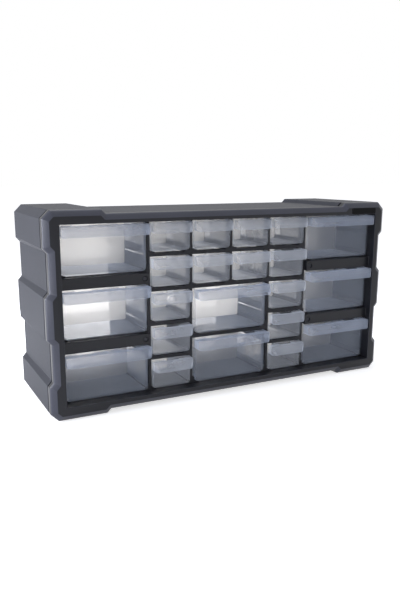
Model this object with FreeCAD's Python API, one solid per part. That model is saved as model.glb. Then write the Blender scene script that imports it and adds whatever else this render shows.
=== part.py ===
import FreeCAD, Part
import os

# A parts bin cabinet: a stepped plastic shell with a front frame, a lattice of
# guide rails inside, and 22 lift-out drawers, 14 small and 8 large, each with
# one cross divider. Millimetres, +Z up, the drawers open towards -Y. The origin
# is under the middle of the whole object, on the surface that it stands on.

Vector = FreeCAD.Vector

# Shared fits
overrun = 1.0
seat_gap = 0.3
running_gap = 0.5

# Cabinet shell, seen from the front
cabinet_width = 495.0
cabinet_height = 249.0
cabinet_depth = 155.0
shell_wall = 2.4
corner_cut = 9.4
corner_panel_height = 33.4
step_rise = 5.6
side_step = 5.0
recessed_panel_height = 45.5
foot_length = 60.5
foot_run = 5.0
foot_rise = 5.0

# Front frame
bevel_width = 7.2
bevel_depth = 5.5
frame_depth = 14.0
frame_wall = 2.4
skirt_wall = 2.0
opening_side_margin = 18.5
opening_bottom = 17.4
opening_top_margin = 16.4
opening_depth = 15.0

# Seam between the front frame and the shell, and the tongue that bridges it
seam_width = 2.5
tongue_length = 4.0
tongue_wall = 1.8
collar_depth = 5.0

# Crossbars of the side columns, moulded with the front frame
crossbar_height = 13.8
crossbar_setback = 9.0
crossbar_wall = 2.2

# Screws that hold the frame to the lattice
screw_inset = 5.7
screw_head_radius = 3.2
screw_head_height = 1.8
screw_shank_radius = 1.5
screw_length = 14.0
screw_clearance = 0.2
screw_sink = 0.8
screw_boss_wall = 1.6
screw_slot_width = 0.8
screw_slot_share = 0.6
screw_slot_depth = 0.9

# Bare badge plate
badge_width = 42.0
badge_height = 8.2
badge_thickness = 1.2
badge_pocket_depth = 0.7
badge_side_margin = 0.8
badge_fit = 0.1
badge_corner = 0.8

# Lattice
side_cell_trim = 2.48
post_width = 3.2
post_depth = 12.0
shelf_thickness = 4.0
border_width = 6.0
border_thickness = 2.4
flange_reach = 6.0
flange_thickness = 2.0
rail_height = 8.5
drawer_lift = 2.3
wall_rail_width = 2.0

# Back wall of the shell
back_wall = 2.4
window_margin = 3.0
support_rib_thickness = 2.0
keyhole_side_inset = 10.5
keyhole_drop = 34.0
keyhole_head_radius = 4.0
keyhole_slot_radius = 2.2
keyhole_slot_length = 7.0

# Drawers
drawer_setback = 13.0
drawer_wall = 1.4
drawer_draft = 0.8
drawer_bottom_radius = 4.5
drawer_inner_corner = 1.8
small_side_gap = 0.6
small_top_gap = 1.0
large_side_gap = 2.1
large_top_gap = 0.6
catch_width = 12.0
catch_height = 2.4
catch_gap = 0.6

# Finger hood along the top of each drawer front
nose_overhang = 3.0
small_nose_setback = 3.5
hood_wall = 1.4
rim_height = 1.0
hood_height = 12.6
hood_bevel_reach = 4.7
large_bevel_drop = 6.0
small_bevel_drop = 8.5
hood_bevel_inset = 5.2
hood_corner = 2.2
small_hood_gap = 4.2
large_hood_gap = 0.7
notch_width = 22.0
notch_taper = 1.6
notch_depth = 3.2

# Cross divider and the ribs that hold it
divider_thickness = 1.2
divider_top_gap = 1.5
divider_fit = 0.3
slot_rib_width = 1.2
slot_rib_reach = 1.3

# Places that follow from the sizes above
half_width = cabinet_width / 2
front_y = nose_overhang - (cabinet_depth + nose_overhang) / 2
back_y = front_y + cabinet_depth
shell_front_y = front_y + frame_depth + seam_width
lattice_y = front_y + opening_depth
back_wall_y = back_y - back_wall
drawer_y = front_y + drawer_setback
nose_y = front_y - nose_overhang

opening_half = half_width - opening_side_margin
opening_top = cabinet_height - opening_top_margin
opening_height = opening_top - opening_bottom

small_rows = 5
small_columns = 4
side_rows = 3
centre_rows = 2
full_width_rows = 2
column_pitch = (opening_half + post_width / 2 + side_cell_trim) / small_columns
small_cell_height = (opening_height - (small_rows - 1) * shelf_thickness) / small_rows
side_cell_height = (opening_height - (side_rows - 1) * crossbar_height) / side_rows
short_rows = small_rows - full_width_rows
centre_height = short_rows * small_cell_height + (short_rows - 1) * shelf_thickness
centre_cell_height = (centre_height - (centre_rows - 1) * shelf_thickness) / centre_rows
small_cell_width = column_pitch - post_width
side_column_inner = 2 * column_pitch + post_width / 2
side_cell_width = opening_half - side_column_inner
centre_cell_width = 2 * column_pitch - post_width
side_column_x = (side_column_inner + opening_half) / 2

drawer_length = back_wall_y - seat_gap - drawer_y
small_width = small_cell_width - 2 * small_side_gap
small_height = small_cell_height - drawer_lift - small_top_gap
large_width = side_cell_width - 2 * large_side_gap
large_height = centre_cell_height - drawer_lift - large_top_gap
small_hood_width = column_pitch - small_hood_gap
large_hood_width = side_cell_width - 2 * large_hood_gap
drawer_travel = drawer_y + drawer_length - drawer_wall - lattice_y - post_depth - catch_gap


def box(x0, x1, y0, y1, z0, z1):
    return Part.makeBox(x1 - x0, y1 - y0, z1 - z0, Vector(x0, y0, z0))


def fused(shapes):
    return shapes[0].multiFuse(shapes[1:]).removeSplitter()


def runs_along(edge, direction):
    # True for an edge within about 25 degrees of the direction.
    return abs(edge.tangentAt(edge.FirstParameter).dot(direction)) > 0.9


def mirrored(shape):
    return shape.mirror(Vector(0, 0, 0), Vector(1, 0, 0))


def wire_at(points, y):
    corners = [Vector(x, y, z) for x, z in points]
    return Part.makePolygon(corners + corners[:1])


def prism(points, y0, y1):
    # A front-view outline pulled from y0 to y1.
    face = Part.Face(wire_at(points, y0))
    return face.extrude(Vector(0, y1 - y0, 0))


def tapered(front_points, y0, back_points, y1):
    return Part.makeLoft([wire_at(front_points, y0), wire_at(back_points, y1)], True, True)


def inset(points, distance):
    # Moves every side of an anticlockwise outline inwards by the same distance.
    moved = []
    count = len(points)
    for i in range(count):
        before, here, after = (Vector(*points[(i + k) % count], 0) for k in (-1, 0, 1))
        incoming = (here - before).normalize()
        outgoing = (after - here).normalize()
        normal_in = Vector(-incoming.y, incoming.x, 0)
        normal_out = Vector(-outgoing.y, outgoing.x, 0)
        mitre = (normal_in + normal_out) * (distance / (1 + normal_in.dot(normal_out)))
        moved.append((here.x + mitre.x, here.y + mitre.y))
    return moved


def cabinet_outline():
    # Chamfered corners, feet and pads at the ends, and two shallow recesses on
    # each side between three full-width panels.
    foot_outer = half_width - corner_cut
    foot_inner = foot_outer - foot_length
    waist = half_width - side_step
    lower = [
        (foot_inner - foot_run, foot_rise),
        (foot_inner, 0),
        (foot_outer, 0),
        (half_width, corner_cut),
        (half_width, corner_cut + corner_panel_height),
    ]
    z = corner_cut + corner_panel_height + step_rise
    lower += [(waist, z), (waist, z + recessed_panel_height)]
    lower.append((half_width, z + recessed_panel_height + step_rise))
    upper = [(x, cabinet_height - z) for x, z in reversed(lower)]
    right = lower + upper
    left = [(-x, z) for x, z in reversed(right)]
    return right + left


outline = cabinet_outline()


# Drawer places: name, kind, centre of the cell, floor level, cell width and height
def list_cells():
    cells = []
    for row in range(1, small_rows + 1):
        floor = opening_bottom + (small_rows - row) * (small_cell_height + shelf_thickness)
        columns = range(1, small_columns + 1) if row <= full_width_rows else (1, small_columns)
        for column in columns:
            x = (column - (small_columns + 1) / 2) * column_pitch
            name = "r%dc%d" % (row, column)
            cells.append(("small", name, x, floor, small_cell_width, small_cell_height))
    for side, sign in (("left", -1), ("right", 1)):
        for row in range(1, side_rows + 1):
            floor = opening_bottom + (side_rows - row) * (side_cell_height + crossbar_height)
            name = "%s_%d" % (side, row)
            x = sign * side_column_x
            cells.append(("large", name, x, floor, side_cell_width, side_cell_height))
    for row in range(1, centre_rows + 1):
        floor = opening_bottom + (centre_rows - row) * (centre_cell_height + shelf_thickness)
        name = "centre_%d" % row
        cells.append(("large", name, 0, floor, centre_cell_width, centre_cell_height))
    return cells


cells = list_cells()


def crossbar_levels():
    step = side_cell_height + crossbar_height
    return [opening_bottom + side_cell_height + i * step for i in range(side_rows - 1)]


def screw_places():
    x = side_column_inner + screw_inset
    return [(s * x, z + crossbar_height / 2) for s in (-1, 1) for z in crossbar_levels()]


def badge_box(depth0, depth1, growth):
    x1 = opening_half - badge_side_margin
    z_middle = (opening_top + cabinet_height - bevel_width) / 2
    z0 = z_middle - badge_height / 2
    z1 = z_middle + badge_height / 2
    x0 = x1 - badge_width
    plate = box(x0 - growth, x1 + growth, depth0, depth1, z0 - growth, z1 + growth)
    corners = [e for e in plate.Edges if runs_along(e, Vector(0, 1, 0))]
    return plate.makeChamfer(badge_corner, corners)


# Front frame: a hollow-backed bevelled ring with an inner skirt and crossbars
def front_frame():
    bevel_y = front_y + bevel_depth
    back = front_y + frame_depth
    ring = fused([
        tapered(inset(outline, bevel_width), front_y, outline, bevel_y),
        prism(outline, bevel_y, back),
    ])
    hollow = fused([
        tapered(inset(outline, bevel_width), front_y + frame_wall,
                inset(outline, frame_wall), bevel_y + frame_wall),
        prism(inset(outline, frame_wall), bevel_y + frame_wall, back + overrun),
    ])
    skirt_half = opening_half + skirt_wall
    skirt_low = opening_bottom - skirt_wall
    skirt_high = opening_top + skirt_wall
    skirt = box(-skirt_half, skirt_half, front_y, lattice_y, skirt_low, skirt_high)
    opening = box(-opening_half, opening_half, front_y - overrun, lattice_y + overrun,
                  opening_bottom, opening_top)
    frame = fused([ring.cut(hollow.cut(skirt)), skirt]).cut(opening)
    bars = []
    for level in crossbar_levels():
        bar = crossbar(level)
        bars += [bar, mirrored(bar)]
    frame = fused([frame] + bars)
    badge_pocket = badge_box(front_y - overrun, front_y + badge_pocket_depth, badge_fit)
    return frame.cut(badge_pocket)


def crossbar(level):
    # A channel open to the back, with a counterbored block at its inner end.
    y0 = front_y + crossbar_setback
    x0 = side_column_inner
    x1 = opening_half + skirt_wall / 2
    top = level + crossbar_height
    bar = box(x0, x1, y0, lattice_y, level, top)
    pocket = box(x0 + crossbar_wall, x1, y0 + crossbar_wall, lattice_y + overrun,
                 level + crossbar_wall, top - crossbar_wall)
    x = side_column_inner + screw_inset
    z = level + crossbar_height / 2
    head_hole = screw_head_radius + screw_clearance
    backwards = Vector(0, 1, 0)
    block = box(x0, x + head_hole + screw_boss_wall, y0, lattice_y, level, top)
    bar = bar.cut(pocket.cut(block))
    sink_depth = screw_sink + screw_head_height
    sink = Part.makeCylinder(head_hole, sink_depth + overrun, Vector(x, y0 - overrun, z), backwards)
    hole = Part.makeCylinder(screw_shank_radius + screw_clearance, screw_length + overrun,
                             Vector(x, y0, z), backwards)
    return bar.cut(fused([sink, hole]))


# Screws with a cross slot, one solid each
def frame_screws():
    return Part.makeCompound([screw(x, z) for x, z in screw_places()])


def screw(x, z):
    y0 = front_y + crossbar_setback + screw_sink
    backwards = Vector(0, 1, 0)
    head = Part.makeCylinder(screw_head_radius, screw_head_height, Vector(x, y0, z), backwards)
    shank = Part.makeCylinder(screw_shank_radius, screw_length, Vector(x, y0, z), backwards)
    reach = screw_head_radius * screw_slot_share
    half_slot = screw_slot_width / 2
    slots = fused([
        box(x - reach, x + reach, y0 - overrun, y0 + screw_slot_depth, z - half_slot, z + half_slot),
        box(x - half_slot, x + half_slot, y0 - overrun, y0 + screw_slot_depth, z - reach, z + reach),
    ])
    return fused([head, shank]).cut(slots)


def badge_plate():
    depth0 = front_y + badge_pocket_depth - badge_thickness
    return badge_box(depth0, front_y + badge_pocket_depth, 0)


# Housing: the stepped shell with its tongue, back wall, windows and keyholes
def housing():
    shell = prism(outline, shell_front_y, back_y)
    inside = prism(inset(outline, shell_wall), shell_front_y - overrun, back_wall_y)
    tongue_outer = inset(outline, frame_wall + seat_gap)
    tongue_inner = inset(outline, frame_wall + seat_gap + tongue_wall)
    tongue_y = front_y + frame_depth - tongue_length
    collar_y = shell_front_y + collar_depth
    collar = prism(inset(outline, shell_wall / 2), shell_front_y, collar_y)
    tongue = prism(tongue_outer, tongue_y, collar_y)
    bore = prism(tongue_inner, tongue_y - overrun, collar_y + overrun)
    body = fused([shell.cut(inside), fused([collar, tongue]).cut(bore)])
    body = body.cut(Part.makeCompound(windows() + keyholes()))
    return fused([body] + support_ribs())


def windows():
    # One tall window behind each column, a little narrower than its cells.
    columns = [((i - (small_columns - 1) / 2) * column_pitch, small_cell_width)
               for i in range(small_columns)]
    columns += [(-side_column_x, side_cell_width), (side_column_x, side_cell_width)]
    holes = []
    for x, width in columns:
        reach = width / 2 - window_margin
        holes.append(box(x - reach, x + reach, back_wall_y - overrun, back_y + overrun,
                         opening_bottom + window_margin, opening_top - window_margin))
    return holes


def keyholes():
    x = half_width - keyhole_side_inset
    z = cabinet_height - keyhole_drop
    depth = back_wall + 2 * overrun
    y = back_wall_y - overrun
    backwards = Vector(0, 1, 0)
    head = Part.makeCylinder(keyhole_head_radius, depth, Vector(x, y, z), backwards)
    top = Part.makeCylinder(keyhole_slot_radius, depth, Vector(x, y, z + keyhole_slot_length), backwards)
    slot = box(x - keyhole_slot_radius, x + keyhole_slot_radius, y, y + depth, z, z + keyhole_slot_length)
    keyhole = fused([head, top, slot])
    return [keyhole, mirrored(keyhole)]


def support_ribs():
    # Ribs under the lattice floor, in line with its posts.
    low = foot_rise + shell_wall / 2
    high = opening_bottom - flange_thickness - seat_gap
    half_rib = support_rib_thickness / 2
    y0 = shell_front_y + collar_depth
    ribs = []
    for i in (-2, -1, 1, 2):
        x = i * column_pitch
        ribs.append(box(x - half_rib, x + half_rib, y0, back_wall_y, low, high))
    return ribs


# Lattice: border, posts and shelves at the front, and low rails to the back wall
def drawer_grid():
    border_y = lattice_y + border_thickness
    deep_y = lattice_y + post_depth
    border_half = opening_half + border_width
    low = opening_bottom - border_width
    high = opening_top + border_width
    border = box(-border_half, border_half, lattice_y, border_y, low, high)
    border = border.cut(box(-opening_half, opening_half, lattice_y - overrun, border_y + overrun,
                            opening_bottom, opening_top))
    pieces = [border]
    ceiling = box(-opening_half, opening_half, lattice_y, deep_y,
                  opening_top, opening_top + flange_thickness)
    floor = box(-opening_half - wall_rail_width, opening_half + wall_rail_width,
                lattice_y, back_wall_y - seat_gap, opening_bottom - flange_thickness, opening_bottom)
    pieces += [ceiling, floor]
    pieces += posts(deep_y)
    pieces += shelves(deep_y)
    pieces += rails()
    grid = fused(pieces)
    return grid.cut(Part.makeCompound(screw_holes()))


def posts(deep_y):
    centre_top = opening_bottom + centre_height
    half_post = post_width / 2
    bars = []
    for i in (-2, -1, 0, 1, 2):
        x = i * column_pitch
        low = centre_top if i == 0 else opening_bottom
        bars.append(box(x - half_post, x + half_post, lattice_y, deep_y, low, opening_top))
    return bars


def shelves(deep_y):
    # Shelf strips over each cell, and a hollow beam behind each crossbar.
    strips = []
    for kind, name, x, floor, width, height in cells:
        top = floor + height
        if top + shelf_thickness < opening_top and abs(x) < side_column_inner:
            strips.append(box(x - width / 2, x + width / 2, lattice_y, deep_y,
                              top, top + shelf_thickness))
    for level in crossbar_levels():
        beam = box(side_column_inner, opening_half, lattice_y, deep_y,
                   level, level + crossbar_height)
        hollow = box(side_column_inner, opening_half + overrun, lattice_y + border_thickness,
                     deep_y + overrun, level + flange_thickness,
                     level + crossbar_height - flange_thickness)
        block_end = side_column_inner + screw_inset + screw_shank_radius + screw_boss_wall
        block = box(side_column_inner, block_end, lattice_y, deep_y, level, level + crossbar_height)
        beam = fused([beam.cut(hollow), block])
        strips += [beam, mirrored(beam)]
    return strips


def beside_two(x, floor, height, side):
    # True if the edge of a small cell faces two large cells, one above the other.
    edge = x + side * column_pitch / 2
    for kind, name, large_x, large_floor, width, large_height in cells:
        near_edge = large_x - side * (width + post_width) / 2
        starts_inside = floor < large_floor < floor + height
        if kind == "large" and abs(near_edge - edge) < post_width and starts_inside:
            return True
    return False


def rails():
    # A guide rail on each side of every cell, with a flange that the drawer runs on.
    # The rail is low, or a full wall where two large cells meet beside a small one.
    bars = []
    y0 = lattice_y
    y1 = back_wall_y - seat_gap
    for kind, name, x, floor, width, height in cells:
        drawer_half = (small_width if kind == "small" else large_width) / 2
        guide_face = drawer_half + running_gap
        for side in (-1, 1):
            backing = width / 2 + post_width / 2
            if abs(x + side * width / 2) > side_column_inner + post_width:
                backing = width / 2 + wall_rail_width
            run_level = floor + drawer_lift - seat_gap
            walled = kind == "small" and beside_two(x, floor, height, side)
            rail_top = floor + (height if walled else rail_height)
            spans = (
                (guide_face, backing, floor - flange_thickness, rail_top),
                (drawer_half - flange_reach, backing, run_level - flange_thickness, run_level),
            )
            for near, far, z0, z1 in spans:
                xs = sorted((x + side * near, x + side * far))
                bars.append(box(xs[0], xs[1], y0, y1, z0, z1))
    return bars


def screw_holes():
    holes = []
    for x, z in screw_places():
        start = Vector(x, lattice_y - overrun, z)
        radius = screw_shank_radius + screw_clearance
        holes.append(Part.makeCylinder(radius, post_depth + 2 * overrun, start, Vector(0, 1, 0)))
    return holes


# Drawers, made once for each kind with the front bottom edge's middle at the origin
def tray_section(half, height, draft, base):
    bottom = half - draft
    return [(-bottom, base), (bottom, base), (half, height), (-half, height)]


def low_edges(solid, level):
    # The lowest edges that run from front to back.
    return [e for e in solid.Edges
            if runs_along(e, Vector(0, 1, 0)) and abs(e.CenterOfMass.z - level) < drawer_wall / 2]


def side_prism(points, x0, x1):
    corners = [Vector(x0, y, z) for y, z in points]
    face = Part.Face(Part.makePolygon(corners + corners[:1]))
    return face.extrude(Vector(x1 - x0, 0, 0))


def plan_prism(points, z0, z1):
    corners = [Vector(x, y, z0) for x, y in points]
    face = Part.Face(Part.makePolygon(corners + corners[:1]))
    return face.extrude(Vector(0, 0, z1 - z0))


def hood_block(half, reach, drop, top, base):
    # A block whose upper and outer front edges are bevelled towards the nose.
    rear = drawer_wall
    shoulder = hood_bevel_reach - reach
    side_view = [(rear, top), (shoulder, top), (-reach, top - drop),
                 (-reach, base), (rear, base)]
    nose_half = half - hood_bevel_inset
    plan = [(-half, rear), (-half, shoulder), (-nose_half, -reach),
            (nose_half, -reach), (half, shoulder), (half, rear)]
    return side_prism(side_view, -half, half).common(plan_prism(plan, base, top))


def hood(width, height, reach, drop):
    half = width / 2
    top = height - rim_height
    base = top - hood_height
    outer = hood_block(half, reach, drop, top, base)
    low_corners = [(-half, top), (-half, base + hood_corner), (-half + hood_corner, base),
                   (half - hood_corner, base), (half, base + hood_corner), (half, top)]
    outer = outer.common(prism(low_corners, -reach, drawer_wall))
    inner = hood_block(half - hood_wall, reach - hood_wall, drop,
                       top - hood_wall, base - overrun)
    return outer.cut(inner)


def notch(x, height):
    # A tapered cut through the rim and the rear of the hood's top.
    rear = drawer_wall + overrun
    half = notch_width / 2
    front_half = half - notch_taper
    points = [(x - half, rear), (x - front_half, -notch_depth),
              (x + front_half, -notch_depth), (x + half, rear)]
    return plan_prism(points, height - rim_height - hood_wall - overrun, height + overrun)


def drawer(width, height, hood_width, reach, drop, notch_places):
    half = width / 2
    outer = prism(tray_section(half, height, drawer_draft, 0), 0, drawer_length)
    outer = outer.makeFillet(drawer_bottom_radius, low_edges(outer, 0))
    inner = prism(tray_section(half - drawer_wall, height + overrun, drawer_draft, drawer_wall),
                  drawer_wall, drawer_length - drawer_wall)
    inner = inner.makeChamfer(drawer_inner_corner, low_edges(inner, drawer_wall))
    body = outer.cut(inner)
    front_hood = hood(hood_width, height, reach, drop).cut(inner)
    ribs = slot_ribs(half, height)
    catch = box(-catch_width / 2, catch_width / 2, drawer_length - drawer_wall, drawer_length,
                height - drawer_wall, height + catch_height)
    whole = fused([body, front_hood, catch] + ribs)
    return whole.cut(Part.makeCompound([notch(x, height) for x in notch_places]))


def slot_ribs(half, height):
    # Two upright ribs on each side wall, a divider's thickness apart.
    middle = drawer_length / 2
    gap = divider_thickness / 2 + divider_fit
    ribs = []
    for y0 in (middle - gap - slot_rib_width, middle + gap):
        for side in (-1, 1):
            points = [
                (side * (half - drawer_wall / 2), height - divider_top_gap),
                (side * (half - drawer_draft - drawer_wall / 2), drawer_bottom_radius),
                (side * (half - drawer_draft - drawer_wall - slot_rib_reach), drawer_bottom_radius),
                (side * (half - drawer_wall - slot_rib_reach), height - divider_top_gap),
            ]
            ribs.append(prism(points, y0, y0 + slot_rib_width))
    return ribs


def divider(width, height):
    half = width / 2 - drawer_wall - divider_fit
    base = drawer_wall + divider_fit
    middle = drawer_length / 2
    plate = prism(tray_section(half, height - divider_top_gap, drawer_draft, base),
                  middle - divider_thickness / 2, middle + divider_thickness / 2)
    return plate.makeChamfer(drawer_inner_corner, low_edges(plate, base))


def placed(shape, x, floor):
    copy = shape.copy()
    copy.translate(Vector(x, drawer_y, floor + drawer_lift))
    return copy


def build():
    parts = {
        "front_frame": front_frame(),
        "housing": housing(),
        "drawer_grid": drawer_grid(),
        "frame_screws": frame_screws(),
        "badge_plate": badge_plate(),
    }
    large_notch = large_hood_width / 4
    large_reach = drawer_y - nose_y
    trays = {
        "small": drawer(small_width, small_height, small_hood_width,
                        large_reach - small_nose_setback, small_bevel_drop, [0]),
        "large": drawer(large_width, large_height, large_hood_width,
                        large_reach, large_bevel_drop, [-large_notch, large_notch]),
    }
    dividers = {
        "small": divider(small_width, small_height),
        "large": divider(large_width, large_height),
    }
    for kind, name, x, floor, width, height in cells:
        parts["%s_drawer_%s" % (kind, name)] = placed(trays[kind], x, floor)
        parts["%s_divider_%s" % (kind, name)] = placed(dividers[kind], x, floor)
    return parts


os.makedirs("parts", exist_ok=True)
for node, shape in build().items():
    shape.exportStep("parts/%s.step" % node)
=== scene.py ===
# %% [markdown]
# # A parts bin cabinet, dressed for its portrait
# The CAD model gives every piece of the cabinet its exact place and size: a
# stepped shell, a front frame, a lattice with guide rails, 22 drawers and a
# divider in each. Blender adds what CAD leaves out: rounded moulded edges, the
# milky plastic of the drawers, and the light. Nothing is moved or resized here.

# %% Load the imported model
import math

import bmesh
import bpy
from mathutils import Matrix, Vector


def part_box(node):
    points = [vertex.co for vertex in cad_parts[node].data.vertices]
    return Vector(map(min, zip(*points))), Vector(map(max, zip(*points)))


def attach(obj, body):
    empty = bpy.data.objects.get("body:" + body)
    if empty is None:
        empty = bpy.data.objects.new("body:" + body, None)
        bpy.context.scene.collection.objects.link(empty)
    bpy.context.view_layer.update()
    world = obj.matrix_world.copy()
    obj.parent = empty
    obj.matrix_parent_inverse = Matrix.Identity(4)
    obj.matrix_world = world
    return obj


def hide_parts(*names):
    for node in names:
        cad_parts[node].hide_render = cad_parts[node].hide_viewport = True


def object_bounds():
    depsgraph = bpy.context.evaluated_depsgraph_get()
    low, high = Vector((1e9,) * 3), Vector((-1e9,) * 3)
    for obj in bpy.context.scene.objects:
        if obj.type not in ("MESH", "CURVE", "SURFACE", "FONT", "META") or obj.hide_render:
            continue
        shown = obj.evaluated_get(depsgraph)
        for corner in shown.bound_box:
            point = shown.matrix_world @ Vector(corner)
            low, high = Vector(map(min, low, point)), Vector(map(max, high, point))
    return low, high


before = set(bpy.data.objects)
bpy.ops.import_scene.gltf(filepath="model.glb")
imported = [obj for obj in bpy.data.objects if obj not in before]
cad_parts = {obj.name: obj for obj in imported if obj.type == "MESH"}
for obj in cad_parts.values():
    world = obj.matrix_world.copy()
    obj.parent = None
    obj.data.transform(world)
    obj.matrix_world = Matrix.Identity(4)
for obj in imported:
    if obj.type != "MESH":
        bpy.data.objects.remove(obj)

cad_low, cad_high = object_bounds()
mm = 0.001
front = cad_low.y + 3 * mm
print("cabinet size in mm:", [round((b - a) / mm, 1) for a, b in zip(cad_low, cad_high)])

# %% [markdown]
# ## Where the camera stands
# The picture was taken from the front left, a little above the cabinet's top.
# A camera could be nudged until it looks right, but here its place, direction
# and focal length were worked out from known corners of the cabinet, so that
# edges fall on the same pixels. Blender's sensor is 36 mm for the long side,
# and the shift only moves the frame by a hundredth or two.

# %% Camera
camera_place = Vector((-0.4126, -0.7775, 0.2894))
camera_yaw = 0.4725
camera_pitch = -0.2136
camera_roll = 0.0018
camera_lens_mm = 38.05
camera_shift = (0.001, 0.0175)

lens = bpy.data.cameras.new("portrait_camera")
camera = bpy.data.objects.new("portrait_camera", lens)
bpy.context.scene.collection.objects.link(camera)
turn = Matrix.Rotation(-camera_yaw, 4, "Z") @ Matrix.Rotation(math.pi / 2 + camera_pitch, 4, "X")
camera.matrix_world = Matrix.Translation(camera_place) @ turn @ Matrix.Rotation(camera_roll, 4, "Z")
lens.lens = camera_lens_mm
lens.shift_x, lens.shift_y = camera_shift
lens.clip_start, lens.clip_end = 0.01, 50
bpy.context.scene.camera = camera
print("camera looks along", [round(v, 3) for v in -turn.col[2].xyz])

# %% [markdown]
# ## Small helpers for materials
# A colour on a paint chart is written in sRGB, and Blender mixes light in
# linear values, so one function turns the one into the other. A second one
# adds a node, sets its properties and inputs, and links what is handed to it.


# %% Colour and node helpers
def linear(hex_colour):
    channels = [int(hex_colour[i:i + 2], 16) / 255 for i in (1, 3, 5)]
    bent = [c / 12.92 if c <= 0.04045 else ((c + 0.055) / 1.055) ** 2.4 for c in channels]
    return (*bent, 1.0)


def add(tree, kind, settings=None, **inputs):
    """A node with its settings and inputs. An input is a value or another node's socket."""
    node = tree.nodes.new(kind)
    for name, value in (settings or {}).items():
        setattr(node, name, value)
    for name, value in inputs.items():
        key = int(name[1:]) if name[1:].isdigit() else name.replace("_", " ")
        socket = node.inputs[key]
        if isinstance(value, bpy.types.NodeSocket):
            tree.links.new(value, socket)
        else:
            socket.default_value = value
    return node


def new_material(name):
    material = bpy.data.materials.new(name)
    material.use_nodes = True
    material.node_tree.nodes.clear()
    return material, material.node_tree


def blend_colours(tree, share, first, second):
    """A colour mix, with share from 0 to 1 between two colours."""
    mix = add(tree, "ShaderNodeMix", {"data_type": "RGBA"}, i0=share)
    for socket, value in ((mix.inputs[6], first), (mix.inputs[7], second)):
        if isinstance(value, bpy.types.NodeSocket):
            tree.links.new(value, socket)
        else:
            socket.default_value = value
    return mix.outputs[2]


print("white stays white:", linear("#ffffff"), "middle grey is", round(linear("#808080")[0], 3))

# %% [markdown]
# ## Moulded plastic of the shell and frame
# The shell and the frame are injection-moulded high-impact polystyrene, dark
# grey right through. The frame is coloured darker than the shell all the same:
# painted shade on the front, which the light barely reaches, and painted light
# on the shell. The mould is spark-eroded, which leaves a fine even grain
# of about 0.2 mm: it spreads reflections, so flat faces look dull and only the
# rounded edges catch a bright line. The grain is too fine to see here, so it is
# drawn at 0.9 mm, and shallow. Slow flow marks, some 60 mm across, make one
# panel a shade lighter than the next, as in any large moulding. The wide bevel
# round the front has a painted highlight: its colour is made several times
# lighter, in place of the light from the left that falls on it. A face
# attribute on the frame says where that is.

# %% Moulded dark plastic
grain_mm = 0.9
flow_mark_mm = 60.0
# The painted highlight on the frame's front bevel: the colour there is multiplied by one plus this
# gain, in place of the light from the left that falls on it.
painted_bevel_light_gain = 3.6


def per_metre(size_mm):
    """Noise scale that gives features of about this size on Object coordinates in metres."""
    return 1000.0 / size_mm


def moulded_plastic(name, deep, pale, roughness, grain_depth, shine):
    material, tree = new_material(name)
    place = add(tree, "ShaderNodeTexCoord").outputs["Object"]
    flow = add(tree, "ShaderNodeTexNoise", Vector=place, Scale=per_metre(flow_mark_mm), Detail=3.0)
    grain = add(tree, "ShaderNodeTexNoise", Vector=place, Scale=per_metre(grain_mm), Detail=2.0)
    colour = blend_colours(tree, flow.outputs["Fac"], linear(deep), linear(pale))
    speck = add(tree, "ShaderNodeMapRange", Value=grain.outputs["Fac"], From_Min=0.3, From_Max=0.7,
                To_Min=0.92, To_Max=1.08)
    # Painted highlight: where the bevel attribute is 1, the colour is made several times lighter.
    band = add(tree, "ShaderNodeAttribute", {"attribute_name": "front_bevel_painted_light"})
    lighter = add(tree, "ShaderNodeMath", {"operation": "MULTIPLY_ADD"}, i0=band.outputs["Fac"],
                  i1=painted_bevel_light_gain, i2=1.0)
    speck_and_painted_light = add(tree, "ShaderNodeMath", {"operation": "MULTIPLY"}, i0=speck.outputs["Result"],
               i1=lighter.outputs["Value"])
    speckled_with_painted_light = add(tree, "ShaderNodeVectorMath", {"operation": "SCALE"}, i0=colour,
                   Scale=speck_and_painted_light.outputs["Value"])
    dull = add(tree, "ShaderNodeMapRange", Value=grain.outputs["Fac"], From_Min=0.25, From_Max=0.75,
               To_Min=roughness - 0.06, To_Max=roughness + 0.06)
    bump = add(tree, "ShaderNodeBump", Height=grain.outputs["Fac"], Strength=0.25,
               Distance=grain_depth)
    shader = add(tree, "ShaderNodeBsdfPrincipled", Base_Color=speckled_with_painted_light.outputs["Vector"],
                 Roughness=dull.outputs["Result"], Normal=bump.outputs["Normal"],
                 Specular_IOR_Level=shine, IOR=1.57)
    add(tree, "ShaderNodeOutputMaterial", Surface=shader.outputs["BSDF"])
    return material


# Painted shade and painted light: the frame and the shell are one plastic, but the frame is coloured
# darker because its front stays in shade, and the shell paler because its sides catch the light.
frame_plastic_painted_shade_and_highlight = moulded_plastic("moulded_polystyrene_frame_grey_painted_shade", "#17181d", "#1e1f25", 0.36,
                                0.05 * mm, 0.25)
shell_plastic_painted_light = moulded_plastic("moulded_polystyrene_shell_grey_painted_light", "#24262d", "#2c2e36", 0.55,
                                0.05 * mm, 0.15)
lattice_plastic = moulded_plastic("moulded_polystyrene_charcoal", "#242529", "#2a2b2f", 0.5,
                                  0.05 * mm, 0.2)
print("grain scale per metre:", round(per_metre(grain_mm)))

# %% [markdown]
# ## Milky drawers
# The drawers are natural polypropylene, about 1.4 mm thick. The plastic is
# neither clear nor white: most of the light goes straight through, and the rest
# is scattered inside the wall and glows out of both sides. A volume would show
# that exactly, but slowly and with noise. Here each face of the wall lets some
# light straight through, less where it is crossed at a slant, and what is left
# is shared between an ordinary glossy surface and a translucent one, which
# takes light from behind. A frosted piece also lets light through blurred. The
# finger hoods are thicker, so they are milkier, the small drawers are a little
# milkier than the large ones, and the dividers are cloudy or frosted. The
# frosted copy is also coloured greyer and glows less: painted shade, for the
# dividers that little light reaches from behind. Slow flow lines from the gate
# change how milky it is.

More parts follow.
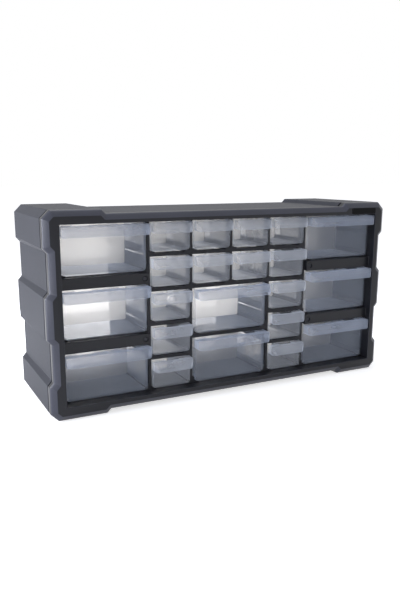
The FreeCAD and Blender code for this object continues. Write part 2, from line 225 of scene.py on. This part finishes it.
# %% Natural polypropylene
wall_clear = 0.862
small_wall_clear = 0.85
hood_clear = 0.75
divider_clear = 0.4
flow_line_mm = 26.0
ripple_mm = 3.0
roughness_spread = 0.07
cloud_spread = 0.012
least_facing = 0.16
tray_roughness = 0.29
divider_roughness = 0.5
front_wall_y = front + 13.0 * mm


def milky_plastic(name, deep, pale, wall_share, hood_share, glow_share, frost_share, roughness):
    """Plastic that one face of lets wall_share of the light through, or hood_share at a hood."""
    material, tree = new_material(name)
    place = add(tree, "ShaderNodeTexCoord").outputs["Object"]
    flow = add(tree, "ShaderNodeTexNoise", Vector=place, Scale=per_metre(flow_line_mm),
               Detail=4.0, Distortion=0.6)
    fine = add(tree, "ShaderNodeTexNoise", Vector=place, Scale=per_metre(ripple_mm), Detail=2.0)
    colour = blend_colours(tree, flow.outputs["Fac"], linear(deep), linear(pale))
    smooth = add(tree, "ShaderNodeMapRange", Value=fine.outputs["Fac"],
                 To_Min=roughness - roughness_spread, To_Max=roughness + roughness_spread)
    bump = add(tree, "ShaderNodeBump", Height=fine.outputs["Fac"], Strength=0.08, Distance=0.02 * mm)
    surface = add(tree, "ShaderNodeBsdfPrincipled", Base_Color=colour, Specular_IOR_Level=0.3,
                  Roughness=smooth.outputs["Result"], Normal=bump.outputs["Normal"], IOR=1.49,
                  Transmission_Weight=frost_share)
    glow = add(tree, "ShaderNodeBsdfTranslucent", Color=colour)
    body = add(tree, "ShaderNodeMixShader", i0=glow_share, i1=surface.outputs["BSDF"],
               i2=glow.outputs["BSDF"])
    clear = add(tree, "ShaderNodeBsdfTransparent", Color=linear("#fffefc"))
    depth = add(tree, "ShaderNodeSeparateXYZ", Vector=place)
    thick = add(tree, "ShaderNodeMapRange", Value=depth.outputs["Y"],
                From_Min=front_wall_y - 1.0 * mm, From_Max=front_wall_y - 0.2 * mm,
                To_Min=hood_share, To_Max=wall_share)
    cloud = add(tree, "ShaderNodeMapRange", Value=flow.outputs["Fac"], From_Min=0.3, From_Max=0.7,
                To_Min=1 + cloud_spread, To_Max=1 - cloud_spread)
    share = add(tree, "ShaderNodeMath", {"operation": "MULTIPLY"}, i0=thick.outputs["Result"],
                i1=cloud.outputs["Result"])
    slant = add(tree, "ShaderNodeLayerWeight", Blend=0.5)
    facing = add(tree, "ShaderNodeMath", {"operation": "SUBTRACT"}, i0=1.0, i1=slant.outputs["Facing"])
    facing = add(tree, "ShaderNodeMath", {"operation": "MAXIMUM"}, i0=facing.outputs["Value"],
                 i1=least_facing)
    path = add(tree, "ShaderNodeMath", {"operation": "DIVIDE"}, i0=1.0, i1=facing.outputs["Value"])
    passed = add(tree, "ShaderNodeMath", {"operation": "POWER"}, i0=share.outputs["Value"],
                 i1=path.outputs["Value"])
    both = add(tree, "ShaderNodeMixShader", i0=passed.outputs["Value"], i1=body.outputs["Shader"],
               i2=clear.outputs["BSDF"])
    add(tree, "ShaderNodeOutputMaterial", Surface=both.outputs["Shader"])
    return material


large_plastic = milky_plastic("moulded_polypropylene_natural", "#d0daec", "#dae3f3", wall_clear,
                              hood_clear, 0.5, 0.0, tray_roughness)
small_plastic = milky_plastic("moulded_polypropylene_milky", "#e6edf9", "#eef3fc", small_wall_clear,
                              hood_clear, 0.5, 0.0, tray_roughness)
cloudy_plastic = milky_plastic("moulded_polypropylene_cloudy", "#eceae6", "#f7f5f1", divider_clear,
                               divider_clear, 0.75, 0.1, divider_roughness)
# The frosted copy is coloured greyer and glows less than the cloudy one: painted shade for dividers
# that little light reaches from behind.
frosted_painted_shade_plastic = milky_plastic("moulded_polypropylene_frosted_painted_shade", "#a3a19e", "#adaba8", divider_clear,
                                divider_clear, 0.12, 0.85, divider_roughness)
bpy.context.scene.cycles.transparent_max_bounces = 48
print("share of light straight through a wall, a hood and a divider:",
      [round(c ** 2, 2) for c in (wall_clear, hood_clear, divider_clear)])

# %% [markdown]
# ## Badge and screws
# The badge is a bare plate of glossy black ABS, pressed into a shallow pocket.
# Polished plastic has a low roughness, and a little dust of wear keeps it from
# looking like glass. The screws are steel with a black oxide finish.


# %% Black gloss and black oxide
def fine_finish(name, deep, pale, pattern_mm, roughness, metallic, shine, depth):
    material, tree = new_material(name)
    place = add(tree, "ShaderNodeTexCoord").outputs["Object"]
    marks = add(tree, "ShaderNodeTexNoise", Vector=place, Scale=per_metre(pattern_mm), Detail=5.0)
    colour = blend_colours(tree, marks.outputs["Fac"], linear(deep), linear(pale))
    dull = add(tree, "ShaderNodeMapRange", Value=marks.outputs["Fac"], From_Min=0.3, From_Max=0.7,
               To_Min=roughness * 0.7, To_Max=roughness * 1.3)
    bump = add(tree, "ShaderNodeBump", Height=marks.outputs["Fac"], Strength=0.15, Distance=depth)
    shader = add(tree, "ShaderNodeBsdfPrincipled", Base_Color=colour, Metallic=metallic,
                 Specular_IOR_Level=shine, Roughness=dull.outputs["Result"],
                 Normal=bump.outputs["Normal"])
    add(tree, "ShaderNodeOutputMaterial", Surface=shader.outputs["BSDF"])
    return material


badge_gloss = fine_finish("polished_abs_black", "#070709", "#0b0b0d", 4.0, 0.16, 0.0, 0.1, 0.01 * mm)
screw_finish = fine_finish("black_oxide_steel", "#3a3b40", "#4b4c52", 0.8, 0.4, 0.9, 0.5, 0.02 * mm)
print("finishes:", badge_gloss.name, screw_finish.name)

# %% [markdown]
# ## Rounding the moulded edges
# No moulded edge is sharp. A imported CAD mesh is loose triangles, so a copy is
# merged, its flat areas are joined into whole faces, and a Bevel modifier
# rounds the edges. Very short edges are left out, because a bevel wider than
# its edge folds over itself. Each edge's weight scales the radius.


# %% A finished copy of a CAD node
def clean_copy(node, piece):
    """A merged copy of a CAD node's mesh as a new object."""
    work = bmesh.new()
    work.from_mesh(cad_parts[node].data)
    bmesh.ops.remove_doubles(work, verts=work.verts, dist=0.002 * mm)
    flat = math.radians(1.0)
    bmesh.ops.dissolve_limit(work, angle_limit=flat, verts=work.verts, edges=work.edges)
    mesh = bpy.data.meshes.new(piece)
    work.to_mesh(mesh)
    work.free()
    copy = bpy.data.objects.new(piece, mesh)
    bpy.context.scene.collection.objects.link(copy)
    return copy


def weigh_edges(copy, sharp_degrees, shortest, weigh=None):
    """Bevel weights on sharp edges that have room for a bevel all round them."""
    mesh = copy.data
    work = bmesh.new()
    work.from_mesh(mesh)
    weights = work.edges.layers.float.new("bevel_weight_edge")
    cramped = {v for e in work.edges if e.calc_length() < shortest for v in e.verts}
    for edge in work.edges:
        if len(edge.link_faces) != 2 or cramped & set(edge.verts):
            continue
        if edge.calc_face_angle(0) > math.radians(sharp_degrees):
            edge[weights] = weigh(edge) if weigh else 1.0
    work.to_mesh(mesh)
    work.free()


def round_edges(copy, radius, segments):
    bevel = copy.modifiers.new("rounded_edges", "BEVEL")
    bevel.limit_method = "WEIGHT"
    bevel.width = radius
    bevel.segments = segments
    bevel.use_clamp_overlap = False
    bevel.harden_normals = False


def shade(copy, material, angle=40.0):
    copy.data.materials.clear()
    copy.data.materials.append(material)
    copy.data.shade_smooth()
    work = bmesh.new()
    work.from_mesh(copy.data)
    for edge in work.edges:
        if len(edge.link_faces) == 2 and edge.calc_face_angle(0) > math.radians(angle):
            edge.smooth = False
    work.to_mesh(copy.data)
    work.free()


def bake_modifiers(copy):
    """Turns the object's modifiers into plain mesh."""
    graph = bpy.context.evaluated_depsgraph_get()
    mesh = bpy.data.meshes.new_from_object(copy.evaluated_get(graph))
    mesh.name = copy.name
    copy.modifiers.clear()
    copy.data = mesh


def hand_over(copy, node, body):
    """The copy rides on its body and stands for its CAD node."""
    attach(copy, body)
    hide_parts(node)


# %% [markdown]
# ## Front frame, shell and lattice
# The three big mouldings keep their CAD shape. The frame's outer rim, where
# the flat side turns into the wide front bevel, has a generous radius, and it
# is what shows as a pale line down the left side. The other edges have the
# small radius that any mould needs, smaller still round the front flat, and none
# round the badge, whose pocket leaves too little room beside it.

# %% The big mouldings
rim_radius = 2.2 * mm
edge_radius = 0.5 * mm
narrow_radius = 0.25 * mm
lattice_radius = 0.3 * mm
badge_radius = 0.2 * mm
rim_y = front + 5.5 * mm
badge_margin = 0.3 * mm
badge_low, badge_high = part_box("badge_plate")


def beside_badge(point):
    return (badge_low.x - badge_margin < point.x < badge_high.x + badge_margin
            and badge_low.z - badge_margin < point.z < badge_high.z + badge_margin)


def rim_weight(edge):
    """Full radius on the outer rim, a narrow one on the front flat, none round the badge."""
    ends = [v.co for v in edge.verts]
    if all(abs(p.y - rim_y) < 0.05 * mm for p in ends):
        return 1.0
    if any(beside_badge(p) for p in ends):
        return 0.0
    on_flat = all(p.y < front + 1.0 * mm for p in ends)
    return (narrow_radius if on_flat else edge_radius) / rim_radius


frame_ring = clean_copy("front_frame", "frame_ring")
weigh_edges(frame_ring, 20, 1.2 * mm, rim_weight)
shade(frame_ring, frame_plastic_painted_shade_and_highlight)
round_edges(frame_ring, rim_radius, 3)

shell = clean_copy("housing", "stepped_shell")
weigh_edges(shell, 20, 1.2 * mm)
shade(shell, shell_plastic_painted_light)
round_edges(shell, edge_radius, 2)

lattice = clean_copy("drawer_grid", "guide_lattice")
weigh_edges(lattice, 20, 1.2 * mm)
shade(lattice, lattice_plastic)
round_edges(lattice, lattice_radius, 2)

badge = clean_copy("badge_plate", "bare_badge")
weigh_edges(badge, 20, 0.4 * mm)
shade(badge, badge_gloss)
round_edges(badge, badge_radius, 2)


def mark_painted_bevel_light(copy):
    """A face attribute that is 1 on the wide sloping band round the front, where the painted highlight
    goes.
    """
    mask = copy.data.attributes.new("front_bevel_painted_light", "FLOAT", "FACE")
    for face in copy.data.polygons:
        slopes = -0.97 < face.normal.y < -0.2
        on_band = front - 0.1 * mm < face.center.y < rim_y + 1.0 * mm
        mask.data[face.index].value = 1.0 if slopes and on_band else 0.0


for piece, node, slot_name in (
    (frame_ring, "front_frame", "cabinet_plastic"),
    (shell, "housing", "cabinet_plastic"),
    (lattice, "drawer_grid", "grid_plastic"),
    (badge, "badge_plate", "badge_plastic"),
):
    bake_modifiers(piece)
    # Only the frame's bevel gets the painted highlight.
    if piece is frame_ring:
        mark_painted_bevel_light(piece)
    hand_over(piece, node, "cabinet")
    print(piece.name, "has", len(piece.data.polygons), "faces")

# %% [markdown]
# ## Drawers
# All small drawers come from one mould and all large ones from another. Each
# rides on its own body, because it slides on its own, so each gets its own
# mesh. The walls are thin, so the radius is small.

# %% Drawers
tray_radius = 0.35 * mm
drawer_nodes = sorted(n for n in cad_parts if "_drawer_" in n)
for node in drawer_nodes:
    tray = clean_copy(node, node.replace("_drawer_", "_tray_"))
    weigh_edges(tray, 25, 1.0 * mm)
    shade(tray, large_plastic if node.startswith("large") else small_plastic)
    round_edges(tray, tray_radius, 2)
    bake_modifiers(tray)
    hand_over(tray, node, node)
print("drawers:", len(drawer_nodes), "faces in the last:", len(tray.data.polygons))

# %% [markdown]
# ## Dividers
# One divider stands across each drawer. Most are cloudy, and glow where light
# comes in from behind. The large ones of the right column and of the bottom row
# get the frosted copy, coloured greyer and glowing less: painted shade, as
# little light reaches them from behind.

# %% Dividers
divider_radius = 0.25 * mm
# The dividers of these drawers get the painted shade of the frosted copy.
dividers_in_painted_shade = ("large_drawer_right", "large_drawer_left_3", "large_drawer_centre_2")
for node in drawer_nodes:
    insert = node.replace("_drawer_", "_divider_")
    plate = clean_copy(insert, insert.replace("_divider_", "_cross_plate_"))
    weigh_edges(plate, 25, 0.6 * mm)
    shade(plate, frosted_painted_shade_plastic if node.startswith(dividers_in_painted_shade) else cloudy_plastic)
    round_edges(plate, divider_radius, 2)
    bake_modifiers(plate)
    hand_over(plate, insert, node)
print("dividers:", len(drawer_nodes))

# %% [markdown]
# ## Screws
# Four screws hold the inner ends of the crossbars. Geometry Nodes make them: a
# head with a cross recess on a shank is built once, and stands on the corners of
# a grid that faces the front. Each one is turned by a random angle, because
# nobody lines screws up. The sizes are named inputs of the tree, and its seed is
# fixed, so every run gives the same screws.


# %% Screws
crown_share = 0.72
shank_centre_share = -0.49


def screw_tree():
    """Cross-recess screws on the four corners of an upright grid."""
    tree = bpy.data.node_groups.new("cross_recess_screws", "GeometryNodeTree")
    tree.interface.new_socket("Screws", in_out="OUTPUT", socket_type="NodeSocketGeometry")
    for name in ("Spacing X", "Spacing Z", "Head Radius", "Head Height", "Shank Radius",
                 "Shank Length", "Recess Length", "Recess Width", "Recess Depth"):
        tree.interface.new_socket(name, in_out="INPUT", socket_type="NodeSocketFloat")
    tree.interface.new_socket("Centre", in_out="INPUT", socket_type="NodeSocketVector")
    tree.interface.new_socket("Seed", in_out="INPUT", socket_type="NodeSocketInt")
    tree.interface.new_socket("Finish", in_out="INPUT", socket_type="NodeSocketMaterial")
    given = add(tree, "NodeGroupInput").outputs

    crown = add(tree, "ShaderNodeMath", {"operation": "MULTIPLY"}, i0=given["Head Radius"],
                i1=crown_share)
    head = add(tree, "GeometryNodeMeshCone", Vertices=32, Radius_Top=crown.outputs["Value"],
               Radius_Bottom=given["Head Radius"], Depth=given["Head Height"])
    shank = add(tree, "GeometryNodeMeshCylinder", Vertices=20, Radius=given["Shank Radius"],
                Depth=given["Shank Length"])
    sink = add(tree, "ShaderNodeMath", {"operation": "MULTIPLY"}, i0=given["Shank Length"],
               i1=shank_centre_share)
    drop = add(tree, "ShaderNodeCombineXYZ", Z=sink.outputs["Value"])
    shank = add(tree, "GeometryNodeTransform", Geometry=shank.outputs["Mesh"],
                Translation=drop.outputs["Vector"])
    screw = add(tree, "GeometryNodeMeshBoolean", {"operation": "UNION"},
                Mesh_2=head.outputs["Mesh"])
    tree.links.new(shank.outputs["Geometry"], screw.inputs["Mesh 2"])

    twice = add(tree, "ShaderNodeMath", {"operation": "MULTIPLY"}, i0=given["Recess Depth"], i1=2.0)
    blade = add(tree, "ShaderNodeCombineXYZ", X=given["Recess Length"], Y=given["Recess Width"],
                Z=twice.outputs["Value"])
    wing = add(tree, "GeometryNodeMeshCube", Size=blade.outputs["Vector"])
    rise = add(tree, "ShaderNodeCombineXYZ", Z=given["Head Height"])
    recess = add(tree, "GeometryNodeMeshBoolean", {"operation": "DIFFERENCE"},
                 Mesh_1=screw.outputs["Mesh"])
    for turn_z in (0.0, math.pi / 2):
        arm = add(tree, "GeometryNodeTransform", Geometry=wing.outputs["Mesh"],
                  Translation=rise.outputs["Vector"], Rotation=(0.0, 0.0, turn_z))
        tree.links.new(arm.outputs["Geometry"], recess.inputs["Mesh 2"])

    grid = add(tree, "GeometryNodeMeshGrid", Size_X=given["Spacing X"], Size_Y=given["Spacing Z"],
               Vertices_X=2, Vertices_Y=2)
    upright = add(tree, "GeometryNodeTransform", Geometry=grid.outputs["Mesh"],
                  Translation=given["Centre"], Rotation=(math.pi / 2, 0.0, 0.0))
    stand = add(tree, "GeometryNodeInstanceOnPoints", Points=upright.outputs["Geometry"],
                Instance=recess.outputs["Mesh"], Rotation=(math.pi / 2, 0.0, 0.0))
    angle = add(tree, "FunctionNodeRandomValue", {"data_type": "FLOAT"}, Seed=given["Seed"])
    angle.inputs[3].default_value = math.pi / 2
    twist = add(tree, "ShaderNodeCombineXYZ", Z=angle.outputs[1])
    turned = add(tree, "GeometryNodeRotateInstances", Instances=stand.outputs["Instances"],
                 Rotation=twist.outputs["Vector"], Local_Space=True)
    real = add(tree, "GeometryNodeRealizeInstances", Geometry=turned.outputs["Instances"])
    painted = add(tree, "GeometryNodeSetMaterial", Geometry=real.outputs["Geometry"],
                  Material=given["Finish"])
    add(tree, "NodeGroupOutput", Screws=painted.outputs["Geometry"])
    return tree


def grow(tree, name, values):
    """The plain mesh that a tree makes from named values."""
    piece = bpy.data.objects.new(name, bpy.data.meshes.new(name))
    bpy.context.scene.collection.objects.link(piece)
    modifier = piece.modifiers.new(tree.name, "NODES")
    modifier.node_group = tree
    for item in tree.interface.items_tree:
        if item.in_out == "INPUT":
            modifier[item.identifier] = values[item.name]
    bake_modifiers(piece)
    return piece


screws_low, screws_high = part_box("frame_screws")
head_radius = 3.2 * mm
head_height = 1.8 * mm
screws = grow(screw_tree(), "cross_recess_screws", {
    "Spacing X": screws_high.x - screws_low.x - 2 * head_radius,
    "Spacing Z": screws_high.z - screws_low.z - 2 * head_radius,
    "Head Radius": head_radius,
    "Head Height": head_height,
    "Shank Radius": 1.5 * mm,
    "Shank Length": screws_high.y - screws_low.y - head_height,
    "Recess Length": 3.8 * mm,
    "Recess Width": 0.8 * mm,
    "Recess Depth": 0.9 * mm,
    "Centre": ((screws_low.x + screws_high.x) / 2, screws_low.y + head_height,
               (screws_low.z + screws_high.z) / 2),
    "Seed": 7,
    "Finish": screw_finish,
})
hand_over(screws, "frame_screws", "cabinet")
print("screws:", len(screws.data.polygons), "faces,", [round(v / mm, 2) for v in screws.dimensions])

# %% [markdown]
# ## Floor and light
# The cabinet stands on a plain white sweep in a bright studio. The world gives
# an even soft light from everywhere, and a large softbox to the left and behind
# lights the left side and the tops of the hoods, while the front stays darker.
# A softbox behind the cabinet shines in through its open back and makes the
# cloudy dividers glow. It is as narrow as the cabinet, so that it misses the
# sides, and it shows in no reflection. The background is white because of its
# own colour as the camera sees it, not because of more light on the object.



# %% Floor
def seen_directly(tree):
    """1 for rays that come from the camera, a reflection or a blurred view, and 0 for light."""
    ray = add(tree, "ShaderNodeLightPath")
    either = add(tree, "ShaderNodeMath", {"operation": "MAXIMUM"}, i0=ray.outputs["Is Camera Ray"],
                 i1=ray.outputs["Is Glossy Ray"])
    either = add(tree, "ShaderNodeMath", {"operation": "MAXIMUM"}, i0=either.outputs["Value"],
                 i1=ray.outputs["Is Transmission Ray"])
    return either.outputs["Value"]


floor_level = cad_low.z
floor_mesh = bpy.data.meshes.new("studio_floor")
reach = 12.0
corners = [(-reach, -reach), (reach, -reach), (reach, reach), (-reach, reach)]
floor_mesh.from_pydata([(x, y, floor_level) for x, y in corners], [], [(0, 1, 2, 3)])
floor = bpy.data.objects.new("studio_floor", floor_mesh)
bpy.context.scene.collection.objects.link(floor)
paper, tree = new_material("matt_white_paper")
card = add(tree, "ShaderNodeBsdfDiffuse", Color=linear("#e9e9e9"))
lift = add(tree, "ShaderNodeEmission", Color=linear("#ffffff"), Strength=0.68)
both = add(tree, "ShaderNodeAddShader", i0=card.outputs["BSDF"], i1=lift.outputs["Emission"])
paper_mix = add(tree, "ShaderNodeMixShader", i0=seen_directly(tree), i1=card.outputs["BSDF"],
                i2=both.outputs["Shader"])
add(tree, "ShaderNodeOutputMaterial", Surface=paper_mix.outputs["Shader"])
floor_mesh.materials.append(paper)

# %% World
world = bpy.data.worlds.new("white_studio")
bpy.context.scene.world = world
world.use_nodes = True
tree = world.node_tree
tree.nodes.clear()
soft = add(tree, "ShaderNodeBackground", Color=linear("#f4f6ff"), Strength=0.48)
white = add(tree, "ShaderNodeBackground", Color=linear("#ffffff"), Strength=1.0)
sky = add(tree, "ShaderNodeMixShader", i0=seen_directly(tree), i1=soft.outputs["Background"],
          i2=white.outputs["Background"])
add(tree, "ShaderNodeOutputWorld", Surface=sky.outputs["Shader"])


# %% Softboxes
def softbox(name, place, aim, width, height, power):
    data = bpy.data.lights.new(name, "AREA")
    data.shape = "RECTANGLE"
    data.size, data.size_y = width, height
    data.energy = power
    data.color = linear("#f2f5ff")[:3]
    box = bpy.data.objects.new(name, data)
    bpy.context.scene.collection.objects.link(box)
    box.location = place
    box.rotation_euler = (Vector(aim) - Vector(place)).to_track_quat("-Z", "Y").to_euler()
    return box


middle = (0, 0, 0.12)
softbox("left_softbox", (-1.35, 0.5, 0.45), middle, 0.35, 0.9, 19)
softbox("front_left_softbox", (-1.5, -0.35, 0.35), middle, 0.5, 0.8, 11)
softbox("top_softbox", (-0.1, 0.3, 1.4), middle, 1.2, 0.8, 7)
back_height = 0.125
behind = softbox("back_softbox", (0.0, 0.6, back_height), (0.0, 0.0, back_height), 0.48, 0.24, 4.6)
behind.visible_transmission = False
behind.visible_glossy = False
bpy.context.scene.view_settings.view_transform = "Standard"
